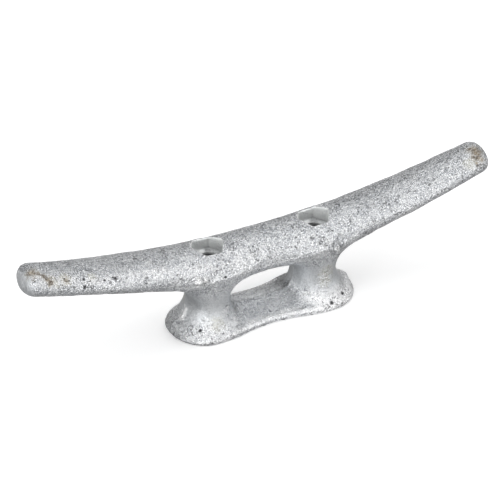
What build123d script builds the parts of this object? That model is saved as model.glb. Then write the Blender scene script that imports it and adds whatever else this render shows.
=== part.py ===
from build123d import *

import math
import os

# Open-base mooring cleat, one casting, millimetres.
# Origin: centre of the underside of the base. X runs along the horns, Y across, Z up.

# Horn: an elliptical bar that runs from tip to tip and sweeps up at both ends.
HORN_LENGTH = 254.0
# Measured stations from the middle to a tip; one column per station in all four lists.
MEASURED_X = [0.0, 42.0, 85.0, HORN_LENGTH / 2]
HORN_CENTRE_Z = [35.8, 37.7, 45.3, 55.4]
HORN_HALF_WIDTH = [13.5, 14.2, 13.5, 9.9]  # along Y
HORN_HALF_DEPTH = [10.2, 9.3, 6.9, 7.0]  # square to the bar's axis
TIP_ROUND = 5.0
TIP_SLOPE_X = 122.0  # where the slope of the blunt ends is taken
TIP_LEAN_SHARE = 0.96  # part of the end's lean taken off the half length
# Loft sections on the +X side, between the middle and the tip.
HORN_LOFT_X = [20.0, 40.0, 58.0, 75.0, 92.0, 108.0]

# Legs: two flared columns, oval in plan, with a waist about half way up.
LEG_FOOT_Z = 2.6  # just inside the rim of the base
LEG_WAIST_Z = 17.7
LEG_HEAD_Z = 34.0  # inside the horn
LEG_LOFT_Z = [LEG_FOOT_Z, 5.0, 8.0, 12.0, LEG_WAIST_Z, 22.0, 26.0, 30.0, LEG_HEAD_Z]
# Each at foot, waist and head.
LEG_OUTER_X = (47.4, 39.8, 54.1)
LEG_INNER_X = (15.6, 18.7, 0.9)
LEG_HALF_DEPTH = (16.7, 12.4, 12.9)  # along Y
LEG_FLARE_POWER = 1.9

# Base: a thin dog-bone plate with a crowned web between the legs.
BASE_END_X = 31.7  # centre of each elliptical end
BASE_END_RX = 17.0
BASE_END_RY = 18.1
BASE_WAIST_HALF_WIDTH = 14.5
BASE_THICKNESS = 3.0
BASE_EDGE_ROUND = 1.2
WEB_BOTTOM_Z = 1.0  # buried in the plate
WEB_CREST_Z = 6.6
WEB_HALF_WIDTH = 12.6
WEB_HALF_LENGTH = 24.0

# Joint fillets, and the heights that pick out the edges they round.
FOOT_FILLET = 2.5  # legs and web into the base
FOOT_EDGES_Z = (BASE_THICKNESS - 0.25, WEB_CREST_Z + 0.4)
HEAD_FILLET = 6.0  # legs into the horn
HEAD_EDGES_Z = (24.0, LEG_HEAD_Z)

# Fastening: two bolts, heads let into the horn.
BOLT_SPACING = 58.0
BOLT_PLACES = [(-BOLT_SPACING / 2, 0), (BOLT_SPACING / 2, 0)]
BOLT_HOLE_DIAMETER = 10.5
HEAD_ACROSS_FLATS = 14.6
HEAD_SEAT_Z = 38.4
RECESS_TOP_Z = 56.0  # well clear of the horn's upper surface


def spline_bends(values):
    """Second derivatives at MEASURED_X of a cubic spline, level at the middle, free at the tip."""
    spans = [right - left for left, right in zip(MEASURED_X, MEASURED_X[1:])]
    slopes = [(values[i + 1] - values[i]) / span for i, span in enumerate(spans)]
    # Tridiagonal system: eliminate downwards, then substitute back up.
    diagonal, target = [2 * spans[0]], [6 * slopes[0]]
    for i in range(1, len(spans)):
        factor = spans[i - 1] / diagonal[i - 1]
        diagonal.append(2 * (spans[i - 1] + spans[i]) - factor * spans[i - 1])
        target.append(6 * (slopes[i] - slopes[i - 1]) - factor * target[i - 1])
    bends = [0.0]
    for i in reversed(range(len(spans))):
        bends.insert(0, (target[i] - spans[i] * bends[0]) / diagonal[i])
    return bends


def along_horn(values, x):
    """Value and slope at x of the spline through the measured values, mirrored about x = 0."""
    bends = spline_bends(values)
    distance = abs(x)
    i = min(len(MEASURED_X) - 2, sum(distance >= station for station in MEASURED_X[1:]))
    span = MEASURED_X[i + 1] - MEASURED_X[i]
    near = (MEASURED_X[i + 1] - distance) / span  # weights of the span's two ends
    far = (distance - MEASURED_X[i]) / span
    value = near * values[i] + far * values[i + 1]
    value += ((near**3 - near) * bends[i] + (far**3 - far) * bends[i + 1]) * span**2 / 6
    slope = (values[i + 1] - values[i]) / span
    slope += ((1 - 3 * near**2) * bends[i] + (3 * far**2 - 1) * bends[i + 1]) * span / 6
    return value, math.copysign(slope, x) if x else 0.0


def end_station():
    """X of the last section: the leaning end's lower edge reaches further out than its axis."""
    angle = math.atan(along_horn(HORN_CENTRE_Z, TIP_SLOPE_X)[1])
    lean = (HORN_HALF_DEPTH[-1] - TIP_ROUND) * math.sin(angle)
    lean += TIP_ROUND * (1 - math.cos(angle))
    return HORN_LENGTH / 2 - lean * TIP_LEAN_SHARE


def make_horn():
    right_side = HORN_LOFT_X + [end_station()]
    left_side = [-x for x in reversed(right_side)]
    with BuildPart() as horn:
        for x in left_side + [0.0] + right_side:
            z, slope = along_horn(HORN_CENTRE_Z, x)
            half_width = along_horn(HORN_HALF_WIDTH, x)[0]
            half_depth = along_horn(HORN_HALF_DEPTH, x)[0]
            angle = math.atan(slope)
            axis = (math.cos(angle), 0, math.sin(angle))
            with BuildSketch(Plane(origin=(x, 0, z), x_dir=(0, 1, 0), z_dir=axis)):
                Ellipse(half_width, half_depth)
        loft()
        faces = horn.faces().sort_by(Axis.X)
        fillet(faces[0].edges() + faces[-1].edges(), radius=TIP_ROUND)
    return horn.part


def flare(z, sizes):
    """Leg dimension at height z, from its sizes at the foot, the waist and the head."""
    foot, waist, head = sizes
    end, end_z = (foot, LEG_FOOT_Z) if z < LEG_WAIST_Z else (head, LEG_HEAD_Z)
    share = ((z - LEG_WAIST_Z) / (end_z - LEG_WAIST_Z)) ** LEG_FLARE_POWER
    return waist + (end - waist) * share


def make_leg():
    """The leg on the +X side."""
    with BuildPart() as leg:
        for z in LEG_LOFT_Z:
            outer, inner = flare(z, LEG_OUTER_X), flare(z, LEG_INNER_X)
            with BuildSketch(Plane.XY.offset(z)):
                with Locations(((outer + inner) / 2, 0)):
                    Ellipse((outer - inner) / 2, flare(z, LEG_HALF_DEPTH))
        loft()
    return leg.part


def make_base():
    with BuildPart() as base:
        with BuildSketch(Plane.XY):
            with BuildLine():
                side = Spline(
                    (BASE_END_X, BASE_END_RY),
                    (0, BASE_WAIST_HALF_WIDTH),
                    (-BASE_END_X, BASE_END_RY),
                    tangents=((-1, 0), (-1, 0)),
                )
                EllipticalCenterArc(
                    (BASE_END_X, 0), BASE_END_RX, BASE_END_RY, start_angle=-90, arc_size=180
                )
                mirror(side, about=Plane.XZ)
                EllipticalCenterArc(
                    (-BASE_END_X, 0), BASE_END_RX, BASE_END_RY, start_angle=90, arc_size=180
                )
            make_face()
        extrude(amount=BASE_THICKNESS)
        fillet(base.faces().sort_by(Axis.Z)[-1].edges(), radius=BASE_EDGE_ROUND)

        # Crowned web: an arc over a block sunk into the plate.
        web_left = (-WEB_HALF_WIDTH, BASE_THICKNESS)
        web_right = (WEB_HALF_WIDTH, BASE_THICKNESS)
        with BuildSketch(Plane.YZ.offset(-WEB_HALF_LENGTH)):
            with BuildLine():
                ThreePointArc(web_left, (0, WEB_CREST_Z), web_right)
                Polyline(
                    web_right,
                    (WEB_HALF_WIDTH, WEB_BOTTOM_Z),
                    (-WEB_HALF_WIDTH, WEB_BOTTOM_Z),
                    web_left,
                )
            make_face()
        extrude(amount=2 * WEB_HALF_LENGTH)
    return base.part


def edges_within(edges, z_range):
    """The edges that lie wholly between two heights."""
    low, high = z_range
    return edges.filter_by(
        lambda edge: edge.bounding_box().min.Z > low and edge.bounding_box().max.Z < high
    )


def make_casting():
    """Horn, legs and base in one pour, with the bolt holes."""
    horn, leg, base = make_horn(), make_leg(), make_base()
    with BuildPart() as casting:
        add(base)
        add(leg)
        add(leg.mirror(Plane.YZ))
        add(horn)
        fillet(edges_within(casting.edges(), FOOT_EDGES_Z), radius=FOOT_FILLET)
        fillet(edges_within(casting.edges(), HEAD_EDGES_Z), radius=HEAD_FILLET)

        # Holes right through.
        with Locations(*BOLT_PLACES):
            Cylinder(
                BOLT_HOLE_DIAMETER / 2,
                RECESS_TOP_Z,
                align=(Align.CENTER, Align.CENTER, Align.MIN),
                mode=Mode.SUBTRACT,
            )
        # Six-sided pockets for the bolt heads, two flats along the horn.
        with BuildSketch(Plane.XY.offset(HEAD_SEAT_Z)):
            with Locations(*BOLT_PLACES):
                RegularPolygon(HEAD_ACROSS_FLATS / 2, 6, major_radius=False)
        extrude(amount=RECESS_TOP_Z - HEAD_SEAT_Z, mode=Mode.SUBTRACT)
    return casting.part


os.makedirs("parts", exist_ok=True)
cleat_casting = make_casting()
cleat_casting.label = "cleat_casting"
export_step(cleat_casting, "parts/cleat_casting.step")
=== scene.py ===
"""Galvanised open-base mooring cleat: two horns on two bolted legs over a dog-bone base.

The origin is the centre of the underside, +X runs along the horns and +Z is up.
The casting is shaped in millimetres as a distance field, negative inside, then meshed.
"""

import math

import bpy
import numpy as np
from mathutils import Matrix, Vector


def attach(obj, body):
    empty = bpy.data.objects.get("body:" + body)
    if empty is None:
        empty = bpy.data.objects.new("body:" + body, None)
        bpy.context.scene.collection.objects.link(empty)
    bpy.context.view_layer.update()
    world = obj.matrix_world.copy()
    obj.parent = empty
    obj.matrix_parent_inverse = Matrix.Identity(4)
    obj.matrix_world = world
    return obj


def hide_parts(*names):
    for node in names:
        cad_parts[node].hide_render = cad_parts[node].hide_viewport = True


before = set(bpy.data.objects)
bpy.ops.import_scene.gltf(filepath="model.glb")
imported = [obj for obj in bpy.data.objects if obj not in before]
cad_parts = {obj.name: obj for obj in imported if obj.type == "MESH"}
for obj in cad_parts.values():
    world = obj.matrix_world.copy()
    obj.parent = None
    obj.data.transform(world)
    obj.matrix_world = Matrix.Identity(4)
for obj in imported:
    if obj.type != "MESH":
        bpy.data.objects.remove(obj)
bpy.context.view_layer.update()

# Horns, alike on both sides of x = 0: x, centre height, half width, half thickness.
STATION_X, CENTRE_Z, HALF_WIDTH, HALF_THICK = np.array([
    (0.0, 35.77, 13.5, 10.23),
    (42.0, 37.73, 14.23, 9.34),
    (85.0, 45.31, 13.52, 6.79),
    (127.0, 55.37, 9.88, 7.02),
]).T
TIP_X = STATION_X[-1]
TRACE_X = TIP_X - 0.1  # the centreline is followed this far
CAP_X = TIP_X - 1.35  # where the blunt end crosses the centreline
CAP_DOME = 30.0  # radius of the slightly domed end
TIP_ROUND = 4.49
HORN_POWER = 2.0

# Legs: each size at the foot, waist and head.
LEG_FOOT_Z, LEG_WAIST_Z, LEG_HEAD_Z = 2.6, 17.67, 34.0
LEG_OUTER_X = (48.33, 39.82, 54.08)
LEG_INNER_X = (15.63, 18.71, 0.94)
LEG_HALF_Y = (17.28, 12.72, 14.66)
LEG_FLARE = 1.9  # power of the flare away from the waist
LEG_POWER = 2.1
LEG_BOTTOM_Z = 1.5
BLEND_FOOT, BLEND_HEAD = 4.47, 9.35
BLEND_WEB = 6.5  # added to the foot blend towards the middle of the base

# Base: elliptical ends and a narrow waist, with a crest along X.
END_X, END_RX, END_RY, WAIST_Y = 31.68, 16.91, 18.07, 14.48
RIM_Z, CREST_Z, CREST_HALF_Y = 2.98, 6.6, 13.2
BASE_ROUND = 1.5

# Bolt holes below hexagonal pockets.
BOLT_X, HOLE_R, HEX_FLATS, HEX_ROUND, SEAT_Z = 29.0, 5.25, 14.6, 2.0, 38.4
MOUTH_Z, POCKET_DRAFT = 47.0, 0.02
SEAT_ROUND, HOLE_BLEND, MOUTH_ROUND = 1.1, 0.9, 0.7

# Sampling grid.
GRID_STEP = 0.66
GRID_LOW = np.array([-129.03, -20.03, -1.37])
GRID_HIGH = np.array([129.2, 20.2, 65.2])


# ---------------------------------------------------------------------------
# Falloffs and joins
# ---------------------------------------------------------------------------
def fade(value, zero, one):
    """Straight step from 0 at `zero` to 1 at `one`, held beyond both."""
    return np.clip((value - zero) / (one - zero), 0, 1)


def bell(value, at=0.0, wide=1.0, power=2):
    """1 at `at`, falling to 1/e at `wide` away; higher powers have a flatter top."""
    return np.exp(-(np.abs((value - at) / wide) ** power))


def spread(points, centre, radii):
    """Squared distance from a centre, as a share of the radii."""
    return (((points - np.array(centre)) / np.array(radii)) ** 2).sum(axis=1)


def smooth_min(a, b, size):
    """Union with a blend of about `size`."""
    overlap = np.maximum(size - np.abs(a - b), 0) / size
    return np.minimum(a, b) - overlap**3 * size / 6


def round_max(a, b, radius):
    """Intersection whose edge has the given radius."""
    a, b = a + radius, b + radius
    return np.minimum(np.maximum(a, b), 0) + np.hypot(np.maximum(a, 0), np.maximum(b, 0)) - radius


def gradient(function, points, reach=0.04):
    slopes = np.empty_like(points)
    for axis, step in enumerate(np.eye(3) * reach):
        slopes[:, axis] = (function(points + step) - function(points - step)) / (2 * reach)
    return slopes


def unit(vectors):
    return vectors / np.maximum(np.linalg.norm(vectors, axis=1), 1e-9)[:, None]


# ---------------------------------------------------------------------------
# Horns
# ---------------------------------------------------------------------------
def spline_moments(xs, ys):
    """Second derivatives at the stations: level at the first one, no curvature at the last."""
    last = len(xs) - 1
    gap = np.diff(xs)
    rise = np.diff(ys) / gap
    rows = np.zeros((last + 1, last + 1))
    sums = np.zeros(last + 1)
    rows[0, :2] = 2 * gap[0], gap[0]
    sums[0] = 6 * rise[0]
    for i in range(1, last):
        rows[i, i - 1 : i + 2] = gap[i - 1], 2 * (gap[i - 1] + gap[i]), gap[i]
        sums[i] = 6 * (rise[i] - rise[i - 1])
    rows[last, last] = 1
    return np.linalg.solve(rows, sums)


def spline(ys, x):
    """Value and slope at x of the cubic through ys, mirrored about x = 0."""
    away = np.abs(x)
    moment = spline_moments(STATION_X, ys)
    i = np.clip(np.searchsorted(STATION_X, away, side="right") - 1, 0, len(STATION_X) - 2)
    gap = STATION_X[i + 1] - STATION_X[i]
    p, q = (STATION_X[i + 1] - away) / gap, (away - STATION_X[i]) / gap
    m0, m1 = moment[i], moment[i + 1]
    value = p * ys[i] + q * ys[i + 1] + ((p**3 - p) * m0 + (q**3 - q) * m1) * gap * gap / 6
    slope = (ys[i + 1] - ys[i]) / gap + (-(3 * p * p - 1) * m0 + (3 * q * q - 1) * m1) * gap / 6
    return value, slope * np.sign(x)


def horn_field(points):
    x, y, z = points.T
    # the nearest place on the centreline
    near_x = np.clip(x, -TRACE_X, TRACE_X)
    for _ in range(3):
        centre, slope = spline(CENTRE_Z, near_x)
        move = ((x - near_x) + (z - centre) * slope) / (1 + slope * slope)
        near_x = np.clip(near_x + move, -TRACE_X, TRACE_X)
    centre, slope = spline(CENTRE_Z, near_x)
    width, _ = spline(HALF_WIDTH, near_x)
    thick, _ = spline(HALF_THICK, near_x)
    off = (-(x - near_x) * slope + (z - centre)) / np.sqrt(1 + slope * slope)
    p = HORN_POWER
    side, rise = np.abs(y) / width + 1e-9, np.abs(off) / thick + 1e-9
    ring = (side**p + rise**p) ** (1 / p)
    steep = ring ** (1 - p) * np.hypot(side ** (p - 1) / width, rise ** (p - 1) / thick)
    body = (ring - 1) / np.maximum(steep, 1e-3)
    # blunt, slightly domed end
    (centre,), (slope,) = spline(CENTRE_Z, np.array([CAP_X]))
    length = math.sqrt(1 + slope**2)
    past_x, above = np.abs(x) - CAP_X, z - centre
    past = (past_x + above * slope) / length
    off = (-past_x * slope + above) / length
    cap = past + (y * y + off * off) / (2 * CAP_DOME)
    return round_max(body, cap, TIP_ROUND)


# ---------------------------------------------------------------------------
# Legs and base
# ---------------------------------------------------------------------------
def leg_size(z, sizes):
    foot, waist, head = sizes
    low = np.maximum(LEG_WAIST_Z - z, 0) / (LEG_WAIST_Z - LEG_FOOT_Z)
    high = np.maximum(z - LEG_WAIST_Z, 0) / (LEG_HEAD_Z - LEG_WAIST_Z)
    return waist + (foot - waist) * low**LEG_FLARE + (head - waist) * high**LEG_FLARE


def leg_ring(x, y, z):
    """Size of the leg section through a point, 1 on the surface."""
    z = np.clip(z, LEG_FOOT_Z - 1.0, LEG_HEAD_Z)
    outer, inner, half_y = (leg_size(z, s) for s in (LEG_OUTER_X, LEG_INNER_X, LEG_HALF_Y))
    middle, half_x = (outer + inner) / 2, (outer - inner) / 2
    p = LEG_POWER
    return ((np.abs(x - middle) / half_x + 1e-9) ** p + (np.abs(y) / half_y + 1e-9) ** p) ** (1 / p)


def leg_field(points):
    x, y, z = np.abs(points[:, 0]), points[:, 1], points[:, 2]
    step = 0.05
    ring = leg_ring(x, y, z)
    slope_x = (leg_ring(x + step, y, z) - ring) / step
    slope_y = (leg_ring(x, y + step, z) - ring) / step
    slope_z = (leg_ring(x, y, z + step) - ring) / step
    steep = np.sqrt(slope_x * slope_x + slope_y * slope_y + slope_z * slope_z)
    side = np.clip((ring - 1) / np.maximum(steep, 0.02), -12, 40)
    return np.maximum(np.maximum(side, z - LEG_HEAD_Z), LEG_BOTTOM_Z - z)


def outline_field(x, y):
    """Dog-bone outline of the base."""
    x, y = np.abs(x), np.abs(y)
    s = np.clip(x / END_X, 0, 1)
    half = WAIST_Y + (END_RY - WAIST_Y) * (s * s * (3 - 2 * s))
    slope = (END_RY - WAIST_Y) * 6 * s * (1 - s) / END_X
    middle = (y - half) / np.sqrt(1 + slope * slope)
    past = np.maximum(x - END_X, 0)
    ring = np.sqrt((past / END_RX) ** 2 + (y / END_RY) ** 2) + 1e-9
    steep = np.sqrt((past / END_RX**2) ** 2 + (y / END_RY**2) ** 2) / ring
    return np.where(x > END_X, (ring - 1) / np.maximum(steep, 1e-3), middle)


def base_field(points):
    x, y, z = points.T
    across = np.clip(np.abs(y) / CREST_HALF_Y, 0, 1)
    top = RIM_Z + (CREST_Z - RIM_Z) * (1 - across**1.25)
    # the rim leans in with height; 0.97 makes up for the tilt of the top
    plate = round_max(outline_field(x, y) + 0.06 * z, (z - top) * 0.97, BASE_ROUND)
    return np.maximum(plate, -z)


# ---------------------------------------------------------------------------
# Pockets, bolt holes and the whole casting
# ---------------------------------------------------------------------------
def hexagon(x, y):
    """Distance to the pocket outline: a hexagon with two sides along X and eased corners."""
    half = HEX_FLATS / 2 - HEX_ROUND
    mirror_x, mirror_y, side = -math.sqrt(3) / 2, 0.5, 1 / math.sqrt(3)
    x, y = np.abs(x), np.abs(y)
    over = 2 * np.minimum(mirror_x * x + mirror_y * y, 0)
    x, y = x - over * mirror_x, y - over * mirror_y
    x, y = x - np.clip(x, -side * half, side * half), y - half
    return np.hypot(x, y) * np.sign(y) - HEX_ROUND


def pocket_field(points):
    x, y, z = np.abs(points[:, 0]) - BOLT_X, points[:, 1], points[:, 2]
    walls = hexagon(x, y) - POCKET_DRAFT * (z - MOUTH_Z)
    pocket = round_max(walls, SEAT_Z - z, SEAT_ROUND)
    hole = np.hypot(x, y) - HOLE_R
    return smooth_min(pocket, hole, HOLE_BLEND)


def field(points):
    horn = horn_field(points)
    leg = leg_field(points)
    base = base_field(points)
    foot_blend = BLEND_FOOT + BLEND_WEB * fade(np.abs(points[:, 0]), zero=27, one=18)
    body = smooth_min(smooth_min(base, leg, foot_blend), horn, BLEND_HEAD)
    body = np.maximum(body, -points[:, 2])
    return round_max(body, -pocket_field(points), MOUTH_ROUND)


# ---------------------------------------------------------------------------
# Meshing: a surface net, then every vertex is dropped onto the exact surface
# ---------------------------------------------------------------------------
def sample_grid():
    counts = np.ceil((GRID_HIGH - GRID_LOW) / GRID_STEP).astype(int) + 1
    xs, ys, zs = (low + GRID_STEP * np.arange(n) for low, n in zip(GRID_LOW, counts))
    y, z = np.meshgrid(ys, zs, indexing="ij")
    values = np.empty(counts)
    for i, x in enumerate(xs):
        points = np.stack([np.full(y.size, x), y.ravel(), z.ravel()], 1)
        values[i] = field(points).reshape(y.shape)
    return values


def surface_net(values):
    """One vertex in each cell the surface passes through, one quad on each edge it cuts."""
    cells = np.array(values.shape) - 1
    inside = values < 0
    count = np.zeros(cells, np.int8)
    for corner in np.ndindex(2, 2, 2):
        count += inside[tuple(slice(c, c + n) for c, n in zip(corner, cells))]
    active = (count > 0) & (count < 8)
    places = np.argwhere(active)
    vertex_id = -np.ones(active.shape, np.int64)
    vertex_id[active] = np.arange(len(places))
    total, hits = np.zeros((len(places), 3)), np.zeros(len(places))
    quads = []
    steps = np.eye(3, dtype=int)
    for axis in range(3):
        sides = [(axis + 1) % 3, (axis + 2) % 3]
        step_b, step_c = steps[sides]
        for i, j in np.ndindex(2, 2):
            start = places + i * step_b + j * step_c
            end = start + steps[axis]
            first, second = values[tuple(start.T)], values[tuple(end.T)]
            cut = (first < 0) != (second < 0)
            point = start[cut].astype(float)
            point[:, axis] += first[cut] / (first[cut] - second[cut])
            total[cut] += point
            hits[cut] += 1

        starts, ends = np.delete(inside, -1, axis=axis), np.delete(inside, 0, axis=axis)
        edges = np.argwhere(starts != ends)
        across = edges[:, sides]
        edges = edges[((across > 0) & (across < cells[sides])).all(axis=1)]
        around = (step_b + step_c, step_c, 0, step_b)
        quad = np.stack([vertex_id[tuple((edges - step).T)] for step in around], 1)
        flip = ~starts[tuple(edges.T)]
        quad[flip] = quad[flip][:, ::-1]
        quads.append(quad)
    return total / hits[:, None] * GRID_STEP + GRID_LOW, np.concatenate(quads)


def drop_onto_surface(verts):
    for _ in range(4):
        distance, slopes = field(verts), gradient(field, verts)
        move = -(distance / np.maximum((slopes * slopes).sum(1), 0.05))[:, None] * slopes
        length = np.linalg.norm(move, axis=1)
        verts += move * np.minimum(1, 0.45 * GRID_STEP / np.maximum(length, 1e-9))[:, None]


# ---------------------------------------------------------------------------
# Relief: waves, lumps, pebbling, the mould parting line and single marks
# ---------------------------------------------------------------------------
LATTICE_SIZE = 48
LATTICE = np.random.default_rng(4711).uniform(-1, 1, (8, *3 * (LATTICE_SIZE,)))

# Pinholes: x, y, z, radius.
PINHOLES = [
    (30.9, -16.7, 3.4, 0.95), (38.4, -13.6, 4.7, 0.95), (-97.9, -9.2, 52.4, 0.75),
    (-98.5, -12.0, 50.0, 0.7), (-87.8, -10.4, 49.5, 0.7), (-82.2, -10.5, 49.0, 0.8),
    (-105.1, -9.5, 54.3, 0.6), (-39.0, -12.1, 6.3, 0.8), (-26.9, -15.2, 35.4, 0.7),
    (-60.8, -14.1, 40.0, 0.45), (113.9, 1.8, 58.8, 0.5), (116.1, -10.2, 55.3, 0.6),
    (-41.8, -15.2, 35.3, 0.55), (33.7, -13.6, 28.7, 0.7), (-28.8, -16.6, 4.2, 0.45),
    (-85.3, -11.9, 48.7, 0.7), (14.4, -9.9, 42.8, 0.45), (-83.2, -9.9, 49.6, 0.6),
    (-107.1, -8.3, 55.3, 0.5), (-76.6, -11.1, 47.9, 0.5),
]
# Lumps of frozen zinc: centre, half sizes, height.
LUMPS = [
    ((33.9, -15.8, 33.8), (1.5, 2.4, 2.6), 1.2), ((31.8, -15.2, 34.4), (1.5, 3.0, 1.3), 0.7),
    ((36.4, -14.6, 37.0), (1.1, 3.0, 2.2), 0.7), ((-40.6, -14.9, 36.2), (1.9, 3.0, 1.3), 0.8),
    ((-37.4, -15.0, 36.6), (1.2, 3.0, 1.1), 0.75), ((-33.5, -14.4, 34.2), (1.2, 3.0, 0.9), 0.55),
    ((-30.5, 8.6, 44.6), (3.0, 1.2, 1.5), 0.25), ((33.5, 8.2, 45.4), (1.2, 1.0, 1.4), 0.4),
    ((36.6, 6.6, 46.0), (1.0, 1.0, 1.4), 0.35),
]
# Rough places within the smooth waists of the legs: x, y, z, radius.
ROUGH_SPOTS = [(30.0, -13.0, 18.6, 4.2), (29.0, -13.0, 14.6, 3.6), (-24.0, -12.0, 14.0, 4.0)]


def noise(points, size, layer):
    """Smooth lattice noise of a given size in mm, about -1 to 1."""
    scaled = points / size + 17.3 * (layer + 1)
    cell = np.floor(scaled).astype(np.int64)
    part = scaled - cell
    part = part * part * part * (part * (part * 6 - 15) + 10)
    total = 0
    for corner in np.ndindex(2, 2, 2):
        weight = np.where(corner, part, 1 - part).prod(axis=1)
        total = total + weight * LATTICE[layer][tuple(((cell + corner) % LATTICE_SIZE).T)]
    return total


def calm_mask(points):
    """Smooth waists of the legs, web of the base and end of the -X horn."""
    x, _, z = points.T
    away = np.abs(x)
    calm = bell(z, at=17, wide=8.5, power=4) * ((away > 3) & (away < 55))
    calm = np.maximum(calm, 0.78 * bell(x, wide=21, power=6) * (z < 14))
    calm = np.maximum(calm, 0.8 * fade(x, zero=-122.6, one=-124))
    for *centre, radius in ROUGH_SPOTS:
        calm = calm * (1 - 0.85 * np.exp(-(spread(points, centre, radius) ** 1.5)))
    return calm


def relief(points):
    x, y, z = points.T
    waves = 0.20 * noise(points, 17, 0) + 0.13 * noise(points, 8.5, 1)
    lumps = 0.09 * noise(points, 4.2, 2) + 0.055 * noise(points, 2.3, 3)
    pebble = 0.035 * noise(points, 1.35, 4)
    parting = 0.42 * bell(y + 0.25 * noise(points, 6, 7), wide=0.7, power=2.5) * (z < 33)
    parting = parting * (0.65 + 0.35 * noise(points, 5, 5))
    height = waves + (1 - 0.72 * calm_mask(points)) * (lumps + pebble) + parting
    for *centre, radius in PINHOLES:
        height -= 0.9 * radius * np.exp(-(spread(points, centre, radius) ** 1.5))
    for centre, radii, rise in LUMPS:
        out = spread(points, centre, radii)
        dome = np.exp(-(out**1.5)) - 0.4 * bell(out, at=2.0, wide=0.9)
        height += rise * dome * (1 + 0.35 * noise(points, 1.9, 6))
    # a crease under the lumps on the +X leg, and a scar across the -X horn
    crease = bell(z - 0.35 * (x - 34), at=29.4, wide=0.5) * bell(x, at=34, wide=3.2, power=4)
    scar = bell(x + 0.25 * (z - 45), at=-65.4, wide=0.6) * bell(z, at=45.3, wide=3.4, power=4)
    height -= 0.35 * crease * (y < -8) + 0.16 * scar * (y < -5)
    # the knocked end of the +X horn, with a raised top and a dent
    height -= 0.45 * fade(x, zero=122.5, one=125.5)
    height += 0.35 * bell(x, at=113, wide=7) * fade(z, zero=57, one=61)
    height -= 0.9 * np.exp(-spread(points, (121.6, -4.2, 60.6), (1.6, 2.0, 2.5)))
    # the lowered top of the -X end
    height -= 0.7 * bell(x, at=-125, wide=7) * fade(z, zero=57.5, one=60.5)
    # frozen ripples beside the +X pocket
    far = np.hypot(x - 17.5, y + 15.0)
    ripples = np.sin(far * 2 * math.pi / 1.75) * bell(far, at=10, wide=4.5, power=4)
    height += 0.05 * ripples * (z > 41) * (x < 19)
    # the underside stays flat and the pockets and holes stay true
    return fade(z, zero=0, one=1.6) * fade(pocket_field(points), zero=0, one=1.2) * height


def skin(points):
    return field(points) - relief(points)


# ---------------------------------------------------------------------------
# Masks painted on the vertices for the material
# ---------------------------------------------------------------------------
def pocket_masks(verts, near):
    """The pale pockets, also lifted by painted light, painted shade in the bores, and a painted
    highlight along the edges of the pockets and base.
    """
    x, y, z = verts.T
    wall = pocket_field(verts)
    from_bolt = np.abs(x) - BOLT_X
    past = from_bolt * np.sign(x)
    # painted shade deep in each bore, and fainter painted shade low on the +X side of each pocket
    # wall
    bore_shade = near * fade(z + 0.2 * (x > 0), zero=SEAT_Z - 0.9, one=SEAT_Z - 1.8)
    shade = fade(z, zero=SEAT_Z + 1.6, one=SEAT_Z + 0.8) * fade(past, zero=0.5, one=2.5)
    bore_shade = np.maximum(bore_shade, 0.4 * near * shade)

    outside = smooth_min(horn_field(verts), leg_field(verts), BLEND_HEAD)
    # painted highlight along the pocket mouths and round the seats, strongest on the -X side of
    # each pocket
    mouth = bell(outside, wide=0.75) * bell(wall, wide=0.75) * (z > 41)
    seat = bell(z, at=SEAT_Z + 0.4, wide=0.7) * bell(hexagon(from_bolt, y), wide=0.9)
    rim_highlight = np.maximum(mouth, 0.7 * seat * (1 + noise(verts, 1.6, 5)))
    rim_highlight = np.clip(0.8 - past / 4, 0.1, 1) * rim_highlight
    # painted highlights round the lip of each bore
    lip = near * bell(z, at=SEAT_Z - 0.4, wide=0.9) * (np.abs(np.hypot(from_bolt, y) - 5.2) < 1.2)
    rim_highlight = np.maximum(rim_highlight, lip * np.clip(0.8 + 0.9 * noise(verts, 1.6, 6) - past / 12, 0, 1))
    # painted highlight line along the top edge of the base in the middle
    edge = bell(z, at=3.0, wide=0.6) * bell(x, wide=27, power=6) * (np.abs(y) > 11)
    rim_highlight = np.maximum(rim_highlight, np.clip(edge * (0.75 + 0.6 * noise(verts, 2.4, 4)), 0, 1))
    return near - bore_shade, rim_highlight, bore_shade


def foot_light_mask(verts):
    """Painted light on the feet, the -X leg's inner crook and the outer side of the +X leg."""
    x, y, z = verts.T
    lit_feet = np.where(x > 0, 0.8, 0.3) * np.maximum(fade(np.abs(x), zero=17, one=25), 0.3)
    lit_feet = lit_feet * fade(z, zero=11, one=5)
    crook = bell(x, at=-18, wide=5) * bell(z, at=8, wide=6) * (y < -2)
    outer = fade(x, zero=38, one=42) * (z < 34)
    return np.maximum(lit_feet, np.maximum(0.4 * crook, 0.35 * outer))


def grime_and_shade_mask(verts, facing):
    x, y, z = verts.T
    # painted shade on the +Y side of the web, stronger towards +X, and real dirt along its parting
    # line
    rear_shade = fade(y, zero=0, one=5) * bell(x, wide=24, power=6) * fade(z, zero=26, one=18)
    seam = bell(y - 0.8 * noise(verts, 4.0, 7), at=0.9, wide=0.55) * (z < 24)
    seam = seam * bell(x, wide=21, power=6) * np.clip(0.7 + noise(verts, 3.0, 2), 0, 1)
    grime_and_shade = rear_shade * np.clip(0.04 + x / 32, 0.0, 0.62) + 0.55 * seam
    # darker at the horn ends and on the outer side of the -X foot
    grime_and_shade += 0.22 * bell(x, at=121, wide=5) + 0.14 * fade(x, zero=-42, one=-45) * (z < 16)
    grime_and_shade += 0.05 * fade(x, zero=-122, one=-123.5) + 0.13 * bell(x, at=-118, wide=4.5) * (y < -3)
    # painted shadow in a ring round the taller lumps
    for centre, radii, rise in LUMPS:
        if rise > 0.6:
            grime_and_shade += 0.5 * bell(spread(verts, centre, radii), at=2.0, wide=0.8)
    # painted shade on the outward face of the -X leg
    return grime_and_shade + 0.26 * fade(-facing[:, 0], zero=0.72, one=0.90) * (x < -25) * (z < 24)


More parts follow.
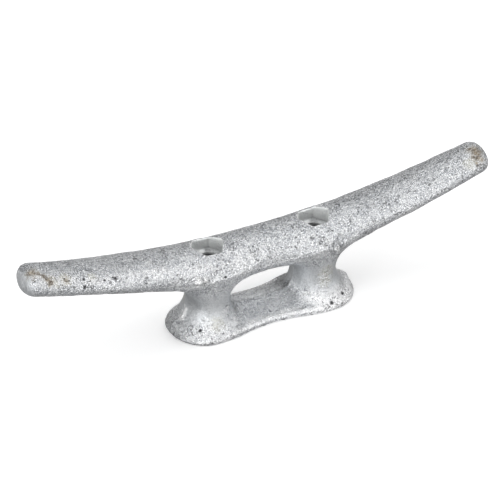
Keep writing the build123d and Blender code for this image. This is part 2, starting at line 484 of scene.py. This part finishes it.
def flank_highlight_mask(verts, facing, near):
    """Painted highlight on the sides that face ±Y, drawn into a painted highlight band along the -X
    horn.
    """
    x = verts[:, 0]
    turn = np.abs(facing[:, 1])
    flank_highlight = fade(turn, zero=0.35, one=0.85) * np.clip(0.85 - x / 250, 0.45, 1)
    highlight_strip = fade(turn, zero=0.34, one=0.48) * (1 - 0.65 * fade(turn, zero=0.70, one=0.86))
    highlight_strip = highlight_strip * np.maximum(fade(x, zero=-123, one=-114), 0.1)
    flank_highlight = flank_highlight + (1.15 * highlight_strip - flank_highlight) * fade(x, zero=-48, one=-58)
    return flank_highlight * (1 - near)


def paint_masks(verts):
    near = fade(np.abs(pocket_field(verts)), zero=0.55, one=0.05)
    facing = unit(gradient(field, verts, reach=0.8))
    calm = calm_mask(verts)
    off_web = np.maximum(np.abs(verts[:, 0]) - 19, verts[:, 2] - 9)
    pocket, rim_highlight, bore_shade = pocket_masks(verts, near)
    return {
        "calm": calm,
        # painted shade: an even, darker grey over the hollow leg waists, faint on the web, also
        # laid over the -X end
        "hollow_shade": calm * np.clip(off_web / 4, 0.05, 1),
        "pocket": pocket,
        "rim_highlight": rim_highlight,
        "bore_shade": bore_shade,
        "flank_highlight": flank_highlight_mask(verts, facing, near),
        # painted light on the feet
        "foot": foot_light_mask(verts),
        "grime_and_shade": grime_and_shade_mask(verts, facing),
    }


def build_cleat():
    verts, quads = surface_net(sample_grid())
    drop_onto_surface(verts)
    verts = verts + unit(gradient(field, verts)) * relief(verts)[:, None]
    z = verts[:, 2]
    verts[:, 2] = np.where(z < 0.02, np.maximum(z, 0), z)
    normals = unit(gradient(skin, verts, reach=0.25))

    mesh = bpy.data.meshes.new("cleat_skin")
    mesh.from_pydata((verts / 1000).tolist(), [], quads.tolist())
    mesh.update()
    mesh.polygons.foreach_set("use_smooth", np.ones(len(mesh.polygons), bool))
    mesh.normals_split_custom_set_from_vertices(normals.tolist())
    cleat = bpy.data.objects.new("cleat_skin", mesh)
    bpy.context.scene.collection.objects.link(cleat)
    for name, values in paint_masks(verts).items():
        attribute = mesh.attributes.new(name, "FLOAT", "POINT")
        attribute.data.foreach_set("value", values.astype(np.float32))
    return cleat


cleat = build_cleat()


# ---------------------------------------------------------------------------
# Shader node helpers
# ---------------------------------------------------------------------------
def set_inputs(tree, node, inputs):
    """Link or set each input, given by name or number."""
    for key, value in inputs.items():
        if isinstance(value, bpy.types.NodeSocket):
            tree.links.new(value, node.inputs[key])
        else:
            node.inputs[key].default_value = value


def add_node(tree, kind, inputs=None, **settings):
    node = tree.nodes.new(kind)
    for name, value in settings.items():
        setattr(node, name, value)
    set_inputs(tree, node, inputs or {})
    return node


# ---------------------------------------------------------------------------
# Weathered hot-dip zinc, with all patterns in object space, in mm
# ---------------------------------------------------------------------------
METAL = 0.9
LEAST_METAL = 0.05
ROUGH = 0.27
# Heights of the fine relief, in mm.
PEBBLE, RIPPLE, GRAIN, DUST, NICK = 0.19, 0.16, 0.125, 0.02, 0.10

DULL_DARK, DULL_LIGHT = (0.46, 0.48, 0.505), (0.64, 0.655, 0.675)
# Painted highlight tones for the sides that face ±Y.
HIGHLIGHT_DARK, HIGHLIGHT_LIGHT = (0.68, 0.695, 0.72), (0.93, 0.935, 0.945)
# Painted shade for the hollow waists of the legs.
WAIST_SHADE = (0.60, 0.62, 0.635)
GRAIN_DIRT, GRAIN_PEAK = (0.27, 0.28, 0.30), (0.95, 0.955, 0.96)
# Pale zinc for the pockets, also standing in for light there; painted shade for the bores.
POCKET_PALE, BORE_SHADE = (0.82, 0.835, 0.83), (0.03, 0.03, 0.032)
# Painted highlight white, and painted light for the feet.
HIGHLIGHT_WHITE, FOOT_LIGHT = (0.97, 0.97, 0.97), (0.97, 0.97, 0.975)
# Grey for real dirt and for painted shade; dark nicks; black pinholes.
GRIME_AND_SHADE_GREY, NICK_GREY, PIN_BLACK = (0.16, 0.165, 0.17), (0.09, 0.09, 0.095), (0.015, 0.015, 0.017)
OLIVE_CAST, RUST_HALO = (0.60, 0.58, 0.44), (0.46, 0.425, 0.37)
RUST_DARK, RUST_LIGHT = (0.11, 0.085, 0.06), (0.33, 0.27, 0.19)

# Stains: x, y, z, radius. Rust lies at the horn ends.
RUST = [
    (119.2, -8.4, 56.8, 0.9), (116.6, -1.6, 60.3, 0.8), (115.6, -6.4, 58.7, 0.8),
    (-122.2, -2.6, 59.2, 0.9), (-120.8, -3.1, 59.5, 1.3), (-118.6, -4.4, 59.2, 1.0),
    (-116.6, -6.3, 58.3, 0.8), (-115.3, -8.2, 57.0, 1.0), (-114.6, -9.5, 56.0, 0.9),
    (-106.6, -9.0, 54.8, 0.8), (118.4, -3.0, 60.0, 1.7), (117.7, -4.9, 59.2, 1.4),
    (118.6, -6.4, 58.4, 1.1), (117.8, -7.9, 57.6, 1.1), (116.4, -9.4, 56.2, 0.8),
    (120.0, -5.0, 59.0, 0.9),
]
OLIVE = [
    (30.2, -12.8, 19.6, 3.6), (29.0, -12.8, 15.0, 2.6), (-107.0, -8.5, 55.2, 2.6),
    (-113.0, -9.4, 55.6, 2.4), (-93.5, -8.6, 52.0, 2.0), (-37.7, 7.0, 15.6, 3.0),
    (-31.0, -14.4, 9.0, 3.0), (113.0, -8.8, 56.6, 3.0),
]
# Painted highlights on the zinc lumps and on the parting ridge of the -X leg: x, y, z, radius.
PAINTED_HIGHLIGHTS = [
    (33.9, -15.8, 33.6, 1.9), (-40.6, -14.7, 36.2, 2.0), (-37.0, -14.8, 36.4, 1.6),
    (-33.5, -14.4, 34.4, 1.3), (35.5, 7.2, 45.6, 1.5), (-42.0, 0.2, 11.5, 2.2),
    (-43.6, 0.0, 8.6, 1.8),
]

zinc = bpy.data.materials.new("zinc_skin")
zinc.use_nodes = True
zinc_tree = zinc.node_tree
zinc_tree.nodes.clear()


def maths(kind, a, b):
    inputs = {0: a, 1: b, 2: 0.0}
    return add_node(zinc_tree, "ShaderNodeMath", inputs, operation=kind).outputs[0]


def plus(a, b):
    return maths("ADD", a, b)


def times(a, b):
    return maths("MULTIPLY", a, b)


def ramp(value, zero, one):
    """Smooth step from 0 at `zero` to 1 at `one`."""
    inputs = dict(enumerate((value, zero, one, 0.0, 1.0)))
    kind = "ShaderNodeMapRange"
    return add_node(zinc_tree, kind, inputs, interpolation_type="SMOOTHSTEP").outputs[0]


def blend(factor, under, over):
    under, over = ((*c, 1) if isinstance(c, tuple) else c for c in (under, over))
    inputs = {0: factor, 6: under, 7: over}
    return add_node(zinc_tree, "ShaderNodeMix", inputs, data_type="RGBA").outputs[2]


def coat(under, over, mask, strength):
    return blend(times(mask, strength), under, over)


def grain(size, detail=2.0, rough=0.5, shift=0.0, distort=0.0):
    """Noise of a given size in mm, about -1 to 1."""
    inputs = {0: MILLIMETRES, "Location": (shift, shift * 1.7, -shift)}
    mapping = add_node(zinc_tree, "ShaderNodeMapping", inputs)
    inputs = {
        "Vector": mapping.outputs[0],
        "Scale": 1.0 / size,
        "Detail": detail,
        "Roughness": rough,
        "Distortion": distort,
    }
    return add_node(zinc_tree, "ShaderNodeTexNoise", inputs, normalize=False).outputs[0]


def most(sockets):
    total = sockets[0]
    for socket in sockets[1:]:
        total = maths("MAXIMUM", total, socket)
    return total


def spots(table, edge, grow=1.0, ragged=0.0):
    """1 inside any spot of a table, 0 outside, with ragged edges if asked."""
    found = []
    for *centre, radius in table:
        inputs = {0: MILLIMETRES, 1: centre}
        away = add_node(zinc_tree, "ShaderNodeVectorMath", inputs, operation="DISTANCE")
        share = times(away.outputs["Value"], 1.0 / (radius * grow))
        if ragged:
            share = plus(share, times(edge_noise, ragged))
        found.append(ramp(share, zero=1.0 + edge / 2, one=1.0 - edge / 2))
    return most(found)


object_place = add_node(zinc_tree, "ShaderNodeTexCoord").outputs["Object"]
MILLIMETRES = add_node(
    zinc_tree, "ShaderNodeVectorMath", {0: object_place, "Scale": 1000.0}, operation="SCALE"
).outputs[0]
hollow_shade, pocket, rim_highlight, bore_shade, flank_highlight, foot, grime_and_shade, calm = (
    add_node(zinc_tree, "ShaderNodeAttribute", attribute_name=name).outputs["Fac"]
    for name in ("hollow_shade", "pocket", "rim_highlight", "bore_shade", "flank_highlight", "foot", "grime_and_shade", "calm")
)
coarse = maths("SUBTRACT", 1.0, times(maths("MAXIMUM", calm, pocket), 0.72))
patches = grain(9.0, detail=3.0, rough=0.55, shift=3.1)
clusters = grain(5.5, rough=0.55, shift=27.0)
mottle = grain(2.6, detail=3.0, rough=0.6, shift=7.7, distort=0.4)
fine = grain(0.64, rough=0.6, shift=12.3)
dust = grain(0.42, detail=1.0, shift=19.0)
edge_noise = plus(times(fine, 0.6), times(mottle, 0.9))
nick_noise = plus(grain(1.0, rough=0.6, shift=52.0), times(clusters, 0.55))
nicks = times(ramp(nick_noise, zero=0.46, one=0.63), coarse)


def fine_relief():
    """Normal of the pebbles, ripples, grains, dust and nicks."""
    pebbles = times(times(grain(1.2, rough=0.6, shift=31.0), PEBBLE), coarse)
    swirl = grain(3.2, detail=1.0, rough=0.4, shift=40.0, distort=0.8)
    ripples = times(times(swirl, RIPPLE), times(coarse, ramp(patches, zero=-0.15, one=0.3)))
    grains = times(times(fine, GRAIN), plus(times(coarse, 0.8), 0.2))
    height = plus(plus(plus(pebbles, ripples), grains), times(dust, DUST))
    height = maths("SUBTRACT", height, times(nicks, NICK))
    inputs = {"Strength": 1.0, "Distance": 0.001, "Height": height}
    return add_node(zinc_tree, "ShaderNodeBump", inputs).outputs[0]


def zinc_colour():
    tone = plus(times(patches, 0.4), times(mottle, 0.55))
    dull = blend(ramp(tone, zero=-0.35, one=0.45), DULL_DARK, DULL_LIGHT)
    highlit = blend(ramp(tone, zero=-0.35, one=0.45), HIGHLIGHT_DARK, HIGHLIGHT_LIGHT)
    # painted highlight on the sides that face ±Y, then painted shade as an even grey over the
    # hollows
    colour = coat(blend(flank_highlight, dull, highlit), WAIST_SHADE, hollow_shade, strength=0.80)
    # dirt between the grains, and worn bright peaks
    speck = plus(times(fine, 0.8), times(dust, 0.5))
    low, high = ramp(speck, zero=-0.04, one=-0.34), ramp(speck, zero=0.06, one=0.32)
    colour = blend(times(low, times(coarse, 0.66)), colour, GRAIN_DIRT)
    colour = blend(times(high, times(coarse, 0.82)), colour, GRAIN_PEAK)
    # thick, pale zinc in the pockets, also painted light lifting the shade in them, with a painted
    # highlight drawn out bright along their edges and painted shade in the bores
    colour = coat(colour, POCKET_PALE, pocket, strength=0.9)
    colour = coat(colour, HIGHLIGHT_WHITE, rim_highlight, strength=0.85)
    colour = coat(colour, BORE_SHADE, bore_shade, strength=0.93)
    # painted light on the feet, the -X leg's inner crook and the outer side of the +X leg
    colour = coat(colour, FOOT_LIGHT, foot, strength=0.92)
    # real dirt along the web's parting line, with painted shade behind the web, round the lumps and
    # on the outward face of the -X leg, and darker at the horn ends
    return blend(grime_and_shade, colour, GRIME_AND_SHADE_GREY)


def stained(colour, rust, pins):
    halo = spots(RUST, grow=2.2, edge=1.2, ragged=0.9)
    olive = spots(OLIVE, edge=1.0, ragged=0.8)
    # painted highlights on the lumps and on the -X leg's parting ridge
    glints = spots(PAINTED_HIGHLIGHTS, edge=0.8, ragged=0.9)
    colour = coat(colour, HIGHLIGHT_WHITE, glints, strength=0.75)
    colour = coat(colour, NICK_GREY, nicks, strength=0.75)
    olive_strength = plus(0.08, times(ramp(fine, zero=0.15, one=-0.2), 0.30))
    colour = coat(colour, OLIVE_CAST, olive, olive_strength)
    colour = coat(colour, RUST_HALO, halo, strength=0.50)
    rust_tint = blend(ramp(mottle, zero=-0.3, one=0.3), RUST_DARK, RUST_LIGHT)
    colour = coat(colour, rust_tint, rust, plus(0.92, times(fine, 0.5)))
    return coat(colour, PIN_BLACK, pins, strength=0.95)


def build_zinc():
    rust = times(
        spots(RUST, grow=1.25, edge=0.9, ragged=0.7),
        ramp(plus(dust, times(fine, 0.6)), zero=-0.45, one=-0.05),
    )
    pins = spots(PINHOLES, grow=0.95, edge=0.6)
    rough = plus(ROUGH, times(mottle, 0.08))
    for mask, added in ((hollow_shade, 0.12), (pocket, 0.14), (most([rust, times(bore_shade, 1.0)]), 0.30)):
        rough = plus(rough, times(mask, added))
    bare = most([times(rust, 0.8), pins, bore_shade, times(pocket, 0.4)])
    inputs = {
        "Base Color": stained(zinc_colour(), rust, pins),
        "Roughness": rough,
        "Metallic": maths("SUBTRACT", METAL, times(bare, METAL - LEAST_METAL)),
        "Normal": fine_relief(),
    }
    surface = add_node(zinc_tree, "ShaderNodeBsdfPrincipled", inputs)
    add_node(zinc_tree, "ShaderNodeOutputMaterial", {0: surface.outputs[0]})


build_zinc()
cleat.data.materials.append(zinc)

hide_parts("cleat_casting")
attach(cleat, "root")

# ---------------------------------------------------------------------------
# Stage, in metres: pale floor, soft studio dome and camera
# ---------------------------------------------------------------------------
FLOOR_HALF, FLOOR_Z = 6, -0.0002
FLOOR_SEEN, FLOOR_REFLECTED = 0.97, 0.45  # grey for the camera, and for every other ray
FLOOR_GLOW = 0.22  # for the camera only
BACKDROP = 1.25
DOME_LEVEL = 0.05
# Broad lobes of light: azimuth from +X, elevation, sharpness, strength.
LOBES = [
    (-115, 8, 45, 5.33), (-79, 8, 45, 6.85), (-43, 8, 45, 4.5), (-7, 8, 45, 2.85),
    (137, 8, 45, 3.85), (173, 8, 45, 3.0), (-151, 8, 45, 10.06), (-115, 33, 45, 0.77),
    (-25, 33, 45, 2.06), (35, 33, 45, 3.4), (65, 33, 45, 4.3), (-145, 33, 45, 2.27),
    (-115, 58, 45, 3.05), (-70, 58, 45, 1.59), (-25, 58, 45, 3.45), (20, 58, 45, 0.8),
    (155, 58, 45, 6.93), (-160, 58, 45, 0.94), (0, 90, 45, 2.5),
]
CAMERA_YAW, CAMERA_RISE, CAMERA_ROLL = (math.radians(a) for a in (27.83, 33.25, 0.32))
CAMERA_TARGET = Vector((0, 0, 0.035))
CAMERA_DISTANCE = 1.2692
CAMERA_LENS, SENSOR_WIDTH = 187.98274, 36  # mm
CAMERA_SHIFT = (-0.02124, -0.00316)  # shares of the sensor width


def build_floor():
    corners = [(x * FLOOR_HALF, y * FLOOR_HALF, 0) for x, y in ((-1, -1), (1, -1), (1, 1), (-1, 1))]
    mesh = bpy.data.meshes.new("floor")
    mesh.from_pydata(corners, [], [(0, 1, 2, 3)])
    floor = bpy.data.objects.new("floor", mesh)
    floor.location.z = FLOOR_Z
    bpy.context.scene.collection.objects.link(floor)
    paint = bpy.data.materials.new("floor_paint")
    paint.use_nodes = True
    tree = paint.node_tree
    surface = tree.nodes["Principled BSDF"]
    surface.inputs["Base Color"].default_value = (FLOOR_SEEN, FLOOR_SEEN, FLOOR_SEEN, 1)
    # paler for the camera than for the metal, so the shadow stays faint
    # and the underside of the casting stays dark
    seen = add_node(tree, "ShaderNodeLightPath").outputs["Is Camera Ray"]
    glow = add_node(tree, "ShaderNodeMath", {0: seen, 1: FLOOR_GLOW}, operation="MULTIPLY")
    inputs = {"Value": seen, "To Min": FLOOR_REFLECTED, "To Max": FLOOR_SEEN}
    grey = add_node(tree, "ShaderNodeMapRange", inputs)
    set_inputs(tree, surface, {
        "Base Color": grey.outputs["Result"],
        "Roughness": 0.8,
        "Emission Color": (1, 1, 1, 1),
        "Emission Strength": glow.outputs[0],
    })
    mesh.materials.append(paint)
    return floor


def build_world():
    world = bpy.data.worlds.new("studio")
    world.use_nodes = True
    tree = world.node_tree
    tree.nodes.clear()
    way = add_node(tree, "ShaderNodeTexCoord").outputs["Generated"]

    def multiply_add(a, b, c):
        inputs = {0: a, 1: b, 2: c}
        return add_node(tree, "ShaderNodeMath", inputs, operation="MULTIPLY_ADD").outputs[0]

    total = DOME_LEVEL
    for azimuth, elevation, sharp, power in LOBES:
        a, e = math.radians(azimuth), math.radians(elevation)
        aim = (math.cos(e) * math.cos(a), math.cos(e) * math.sin(a), math.sin(e))
        dot = add_node(tree, "ShaderNodeVectorMath", {0: way, 1: aim}, operation="DOT_PRODUCT")
        fall = multiply_add(dot.outputs["Value"], sharp, -sharp)
        lobe = add_node(tree, "ShaderNodeMath", {0: fall}, operation="EXPONENT").outputs[0]
        total = multiply_add(lobe, power, total)
    # the camera sees a plain pale backdrop instead of the lobes
    seen = add_node(tree, "ShaderNodeLightPath").outputs["Is Camera Ray"]
    inputs = {"Value": seen, "To Min": total, "To Max": BACKDROP}
    strength = add_node(tree, "ShaderNodeMapRange", inputs).outputs["Result"]
    glow = add_node(tree, "ShaderNodeBackground", {"Strength": strength})
    add_node(tree, "ShaderNodeOutputWorld", {0: glow.outputs[0]})
    return world


def build_camera():
    level = math.cos(CAMERA_RISE)
    back = Vector((
        -math.sin(CAMERA_YAW) * level, -math.cos(CAMERA_YAW) * level, math.sin(CAMERA_RISE)
    ))
    right = Vector((math.cos(CAMERA_YAW), -math.sin(CAMERA_YAW), 0))
    up = right.cross(-back)
    cos_roll, sin_roll = math.cos(CAMERA_ROLL), math.sin(CAMERA_ROLL)
    rolled = (right * cos_roll + up * sin_roll, -right * sin_roll + up * cos_roll, back)
    pose = Matrix(rolled).transposed().to_4x4()
    pose.translation = CAMERA_TARGET + back * CAMERA_DISTANCE
    data = bpy.data.cameras.new("camera")
    data.sensor_width = SENSOR_WIDTH
    data.lens = CAMERA_LENS
    data.shift_x, data.shift_y = CAMERA_SHIFT
    data.clip_start, data.clip_end = 0.05, 50
    camera = bpy.data.objects.new("camera", data)
    camera.matrix_world = pose
    bpy.context.scene.collection.objects.link(camera)
    return camera


build_floor()
scene = bpy.context.scene
scene.world = build_world()
scene.view_settings.view_transform = "Standard"
scene.camera = build_camera()
